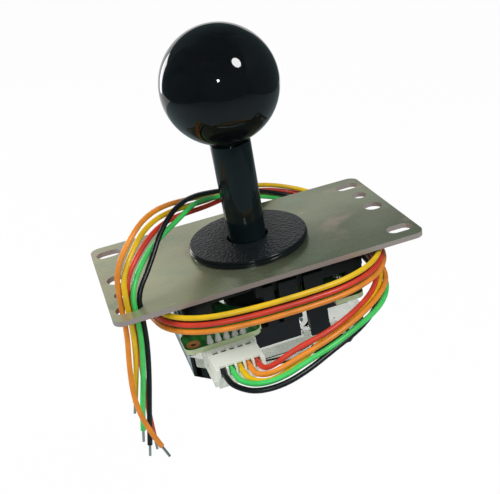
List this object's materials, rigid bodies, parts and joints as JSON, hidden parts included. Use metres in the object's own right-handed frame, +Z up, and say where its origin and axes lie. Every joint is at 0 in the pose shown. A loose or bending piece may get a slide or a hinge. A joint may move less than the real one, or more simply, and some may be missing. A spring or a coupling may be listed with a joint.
{
  "type": "arcade joystick lever",
  "caption": "Ball-top arcade joystick lever on a slotted steel plate: the spring-returned shaft tilts in a ball pivot, works switches on a circuit board and trails a loose wire harness.",
  "frame": {"origin": "middle of the plate's top face, on the axis of the upright shaft and midway between the end holes", "axes": "+Z up the shaft to the ball top, +X along the plate, +Y to the back, away from the connector"},
  "size_m": [0.0963, 0.093, 0.1196],
  "materials": {
    "plate_zinc": "zinc-plated, faintly iridescent",
    "screw_steel": "plated",
    "shaft_steel": "polished",
    "spring_steel": "bright drawn wire",
    "insert_brass": "turned",
    "gloss_black": "glossy",
    "washer_black": "pebbled",
    "slip_grey": "smooth",
    "housing_black": "satin moulding",
    "pivot_white": "smooth",
    "actuator_black": "smooth",
    "board_green": "solder mask",
    "switch_black": "satin",
    "plunger_red": "smooth",
    "solder": "bright",
    "contact_tin": "tinned",
    "connector_white": "smooth",
    "gate_clear": "clear",
    "guide_clear": "clear",
    "wire_black": "smooth",
    "wire_green": "smooth",
    "wire_yellow": "smooth",
    "wire_orange": "smooth",
    "wire_red": "smooth"
  },
  "bodies": {
    "base": {"mounting_plate": "plate_zinc", "plate_screws": "screw_steel", "housing": "housing_black", "spring_seat": "pivot_white", "circuit_board": "board_green", "switch_pins": "solder", "solder_joints": "solder", "pin_header": "connector_white", "header_pins": "solder", "connector_plug": "connector_white", "crimp_contacts": "contact_tin", "restrictor_gate": "gate_clear", "gate_guide": "guide_clear", "wire_tips": "solder", "switch_front": "switch_black", "switch_right": "switch_black", "switch_back": "switch_black", "switch_left": "switch_black", "wire_black": "wire_black", "wire_green": "wire_green", "wire_yellow": "wire_yellow", "wire_orange": "wire_orange", "wire_red": "wire_red"},
    "spring": {"return_spring": "spring_steel"},
    "pivot": {"pivot_ball": "pivot_white", "actuator": "actuator_black"},
    "stick": {"shaft": "shaft_steel", "shaft_cover": "gloss_black", "ball_top": "gloss_black", "ball_insert": "insert_brass", "e_ring": "screw_steel"},
    "slip": {"slip_disc": "slip_grey"},
    "washer": {"dust_washer": "washer_black"},
    "front_switch_plunger": {"plunger_front": "plunger_red"},
    "right_switch_plunger": {"plunger_right": "plunger_red"},
    "back_switch_plunger": {"plunger_back": "plunger_red"},
    "left_switch_plunger": {"plunger_left": "plunger_red"}
  },
  "joints": [
    {"name": "lever_tilt_x", "type": "hinge", "parent": "base", "child": "spring", "pos_m": [0, 0, -0.008], "axis": [1, 0, 0], "range_deg": [-7.5, 7.5], "stiffness_Nm_per_rad": 0.4, "deforming": ["return_spring"]},
    {"name": "lever_tilt_y", "type": "hinge", "parent": "spring", "child": "pivot", "pos_m": [0, 0, -0.008], "axis": [0, 1, 0], "range_deg": [-7.5, 7.5], "stiffness_Nm_per_rad": 0.4, "deforming": ["return_spring"]},
    {"name": "shaft_spin", "type": "hinge", "parent": "pivot", "child": "stick", "pos_m": [0, 0, -0.008], "axis": [0, 0, 1], "continuous": true},
    {"name": "washer_slide_x", "type": "slide", "parent": "base", "child": "slip", "axis": [1, 0, 0], "range_m": [-0.0013, 0.0013]},
    {"name": "washer_slide_y", "type": "slide", "parent": "slip", "child": "washer", "axis": [0, 1, 0], "range_m": [-0.0013, 0.0013]},
    {"name": "front_plunger_press", "type": "slide", "parent": "base", "child": "front_switch_plunger", "axis": [0, -1, 0], "range_m": [-0.0005, 0.0005]},
    {"name": "right_plunger_press", "type": "slide", "parent": "base", "child": "right_switch_plunger", "axis": [1, 0, 0], "range_m": [-0.0005, 0.0005]},
    {"name": "back_plunger_press", "type": "slide", "parent": "base", "child": "back_switch_plunger", "axis": [0, 1, 0], "range_m": [-0.0005, 0.0005]},
    {"name": "left_plunger_press", "type": "slide", "parent": "base", "child": "left_switch_plunger", "axis": [-1, 0, 0], "range_m": [-0.0005, 0.0005]}
  ],
  "couplings": [
    {"joint": "washer_slide_x", "follows": "lever_tilt_y", "m_per_rad": 0.0096},
    {"joint": "washer_slide_y", "follows": "lever_tilt_x", "m_per_rad": -0.0096},
    {"joint": "back_plunger_press", "follows": "lever_tilt_x", "m_per_rad": 0.00381},
    {"joint": "front_plunger_press", "follows": "lever_tilt_x", "m_per_rad": -0.00381},
    {"joint": "left_plunger_press", "follows": "lever_tilt_y", "m_per_rad": 0.00381},
    {"joint": "right_plunger_press", "follows": "lever_tilt_y", "m_per_rad": -0.00381}
  ]
}
